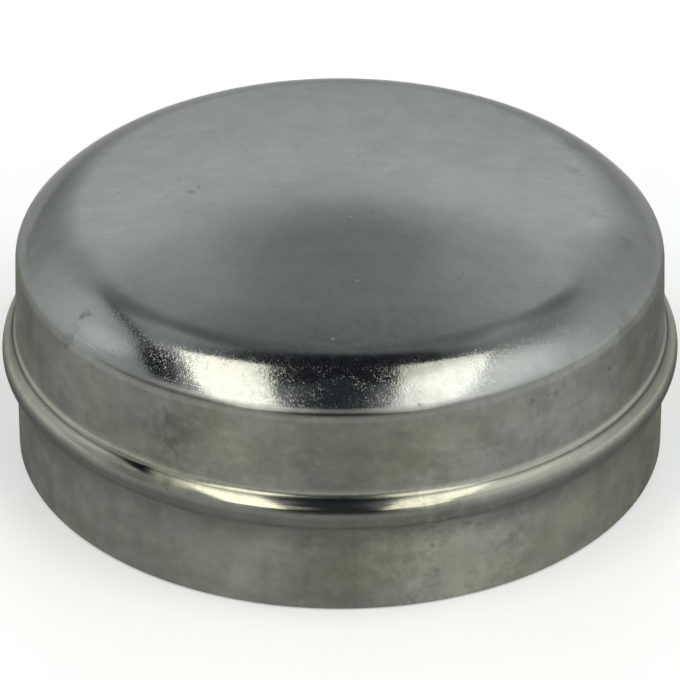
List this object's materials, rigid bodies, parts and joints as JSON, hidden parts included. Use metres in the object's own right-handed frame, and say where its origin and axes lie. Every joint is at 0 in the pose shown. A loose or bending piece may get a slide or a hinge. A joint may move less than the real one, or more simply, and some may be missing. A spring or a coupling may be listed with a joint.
{
  "type": "hub grease cap",
  "caption": "Press-in hub grease cap: one drawn sheet-steel cup with a straight skirt, a hollow stop bead, a leaning wall and a shallow domed crown.",
  "frame": {"origin": "centre of the rim's plane, on the cap's axis", "axes": "+Z along the cap's axis, from the open rim towards the crown; the cap is round, so +X and +Y are any two level directions"},
  "size_m": [0.058, 0.0578, 0.0239],
  "materials": {
    "zinc_plated_steel": "bright zinc plate on drawn sheet steel: satin crown, burnished shoulder and bead, greyer walls with faint draw marks and stains"
  },
  "bodies": {
    "root": {"grease_cap": "zinc_plated_steel"}
  },
  "joints": []
}
